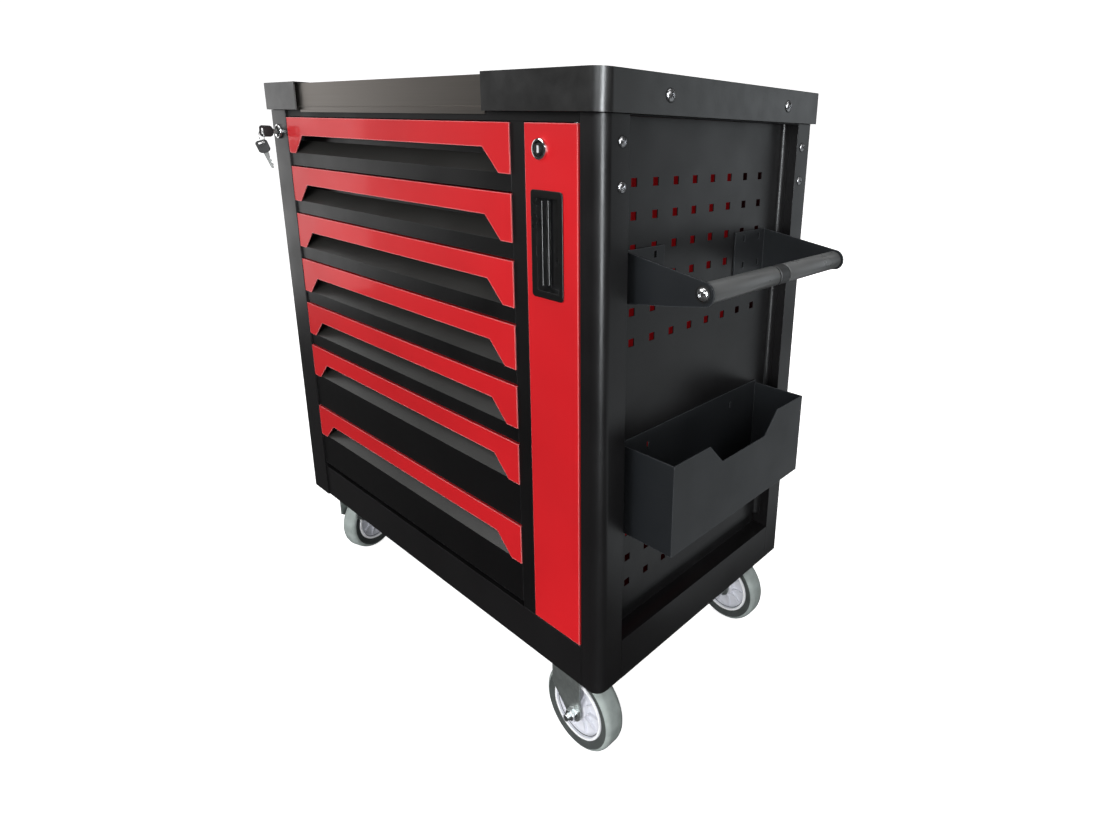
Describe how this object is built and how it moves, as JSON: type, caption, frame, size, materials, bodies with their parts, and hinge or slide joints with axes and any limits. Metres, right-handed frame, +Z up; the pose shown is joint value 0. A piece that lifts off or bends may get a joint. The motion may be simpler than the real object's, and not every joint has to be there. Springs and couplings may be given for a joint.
{
  "type": "rolling tool box",
  "caption": "Rolling steel tool cabinet with lockable drawers, a narrow side cupboard, a perforated side panel with a hanging bin and push handle, on casters.",
  "frame": {"origin": "on the floor, under the middle of the overall box", "axes": "+Z up, the drawer fronts face -Y, the handle and the hanging bin are on the +X side"},
  "size_m": [0.9104, 0.4814, 0.9072],
  "materials": {
    "black_powder_coat": "satin black powder coat",
    "red_enamel": "gloss red enamel",
    "brushed_stainless": "brushed stainless steel",
    "black_cap_plastic": "satin moulded plastic",
    "gloss_black_plastic": "gloss moulded plastic",
    "chrome": "polished",
    "zinc_plate": "bright zinc plating",
    "grip_plastic": "satin moulded grip",
    "hub_plastic": "pale grey moulded plastic",
    "grey_rubber": "matte grey rubber"
  },
  "bodies": {
    "cabinet": {"left_side_panel": "black_powder_coat", "right_front_post": "black_powder_coat", "right_rear_post": "black_powder_coat", "base_tray": "black_powder_coat", "top_panel": "black_powder_coat", "back_panel": "black_powder_coat", "centre_post": "black_powder_coat", "peg_panel": "black_powder_coat", "handle_bracket_front": "black_powder_coat", "handle_bracket_rear": "black_powder_coat", "handle_bar": "black_powder_coat", "side_bin": "black_powder_coat", "divider_wall": "red_enamel", "worktop_sheet": "brushed_stainless", "left_end_cap": "black_cap_plastic", "right_end_cap": "black_cap_plastic", "slide_rack_left": "zinc_plate", "slide_rack_right": "zinc_plate", "upper_hinge_pin": "zinc_plate", "lower_hinge_pin": "zinc_plate", "caster_bracket_front_right": "zinc_plate", "caster_bracket_rear_right": "zinc_plate", "swivel_plate_front_left": "zinc_plate", "swivel_plate_rear_left": "zinc_plate", "drawer_lock_barrel": "chrome", "handle_bolt_front": "chrome", "handle_bolt_rear": "chrome", "handle_grip_front": "grip_plastic", "handle_grip_rear": "grip_plastic"},
    "drawer_1": {"drawer_1": "black_powder_coat", "drawer_trim_1": "red_enamel"},
    "drawer_2": {"drawer_2": "black_powder_coat", "drawer_trim_2": "red_enamel"},
    "drawer_3": {"drawer_3": "black_powder_coat", "drawer_trim_3": "red_enamel"},
    "drawer_4": {"drawer_4": "black_powder_coat", "drawer_trim_4": "red_enamel"},
    "drawer_5": {"drawer_5": "black_powder_coat", "drawer_trim_5": "red_enamel"},
    "drawer_6": {"drawer_6": "black_powder_coat", "drawer_trim_6": "red_enamel"},
    "drawer_7": {"drawer_7": "black_powder_coat", "drawer_trim_7": "red_enamel"},
    "door": {"door_panel": "red_enamel", "door_pull": "gloss_black_plastic", "door_lock_barrel": "chrome"},
    "door_lock": {"door_lock_plug": "chrome"},
    "drawer_lock": {"drawer_lock_plug": "chrome", "lock_key": "gloss_black_plastic"},
    "lock_bar": {"lock_bar": "zinc_plate"},
    "caster_front_left": {"caster_fork_front_left": "zinc_plate"},
    "caster_rear_left": {"caster_fork_rear_left": "zinc_plate"},
    "wheel_front_left": {"hub_front_left": "hub_plastic", "tyre_front_left": "grey_rubber"},
    "wheel_rear_left": {"hub_rear_left": "hub_plastic", "tyre_rear_left": "grey_rubber"},
    "wheel_front_right": {"hub_front_right": "hub_plastic", "tyre_front_right": "grey_rubber"},
    "wheel_rear_right": {"hub_rear_right": "hub_plastic", "tyre_rear_right": "grey_rubber"}
  },
  "joints": [
    {"name": "drawer_1_slide", "type": "slide", "parent": "cabinet", "child": "drawer_1", "axis": [0, -1, 0], "range_m": [0, 0.32]},
    {"name": "drawer_2_slide", "type": "slide", "parent": "cabinet", "child": "drawer_2", "axis": [0, -1, 0], "range_m": [0, 0.32]},
    {"name": "drawer_3_slide", "type": "slide", "parent": "cabinet", "child": "drawer_3", "axis": [0, -1, 0], "range_m": [0, 0.32]},
    {"name": "drawer_4_slide", "type": "slide", "parent": "cabinet", "child": "drawer_4", "axis": [0, -1, 0], "range_m": [0, 0.32]},
    {"name": "drawer_5_slide", "type": "slide", "parent": "cabinet", "child": "drawer_5", "axis": [0, -1, 0], "range_m": [0, 0.32]},
    {"name": "drawer_6_slide", "type": "slide", "parent": "cabinet", "child": "drawer_6", "axis": [0, -1, 0], "range_m": [0, 0.32]},
    {"name": "drawer_7_slide", "type": "slide", "parent": "cabinet", "child": "drawer_7", "axis": [0, -1, 0], "range_m": [0, 0.32]},
    {"name": "door_hinge", "type": "hinge", "parent": "cabinet", "child": "door", "pos_m": [0.30925, -0.20275, 0.53025], "axis": [0, 0, 1], "range_deg": [0, 110]},
    {"name": "door_lock_turn", "type": "hinge", "parent": "door", "child": "door_lock", "pos_m": [0.25725, -0.20675, 0.8245], "axis": [0, 1, 0], "range_deg": [0, 90]},
    {"name": "drawer_lock_turn", "type": "hinge", "parent": "cabinet", "child": "drawer_lock", "pos_m": [-0.42175, -0.20675, 0.8285], "axis": [0, 1, 0], "range_deg": [0, 90]},
    {"name": "lock_bar_slide", "type": "slide", "parent": "cabinet", "child": "lock_bar", "axis": [0, 0, -1], "range_m": [0, 0.01202]},
    {"name": "swivel_front_left", "type": "hinge", "parent": "cabinet", "child": "caster_front_left", "pos_m": [-0.38575, -0.14975, 0.1465], "axis": [0, 0, 1], "continuous": true},
    {"name": "wheel_spin_front_left", "type": "hinge", "parent": "caster_front_left", "child": "wheel_front_left", "pos_m": [-0.39317, -0.12692, 0.0635], "axis": [-0.9511, -0.309, 0], "continuous": true},
    {"name": "swivel_rear_left", "type": "hinge", "parent": "cabinet", "child": "caster_rear_left", "pos_m": [-0.38575, 0.17625, 0.1465], "axis": [0, 0, 1], "continuous": true},
    {"name": "wheel_spin_rear_left", "type": "hinge", "parent": "caster_rear_left", "child": "wheel_rear_left", "pos_m": [-0.37833, 0.15342, 0.0635], "axis": [0.9511, 0.309, 0], "continuous": true},
    {"name": "wheel_spin_front_right", "type": "hinge", "parent": "cabinet", "child": "wheel_front_right", "pos_m": [0.28175, -0.16575, 0.0635], "axis": [0, 1, 0], "continuous": true},
    {"name": "wheel_spin_rear_right", "type": "hinge", "parent": "cabinet", "child": "wheel_rear_right", "pos_m": [0.28175, 0.19225, 0.0635], "axis": [0, 1, 0], "continuous": true}
  ],
  "couplings": [
    {"joint": "drawer_lock_turn", "follows": "lock_bar_slide", "rad_per_m": 130.67}
  ]
}
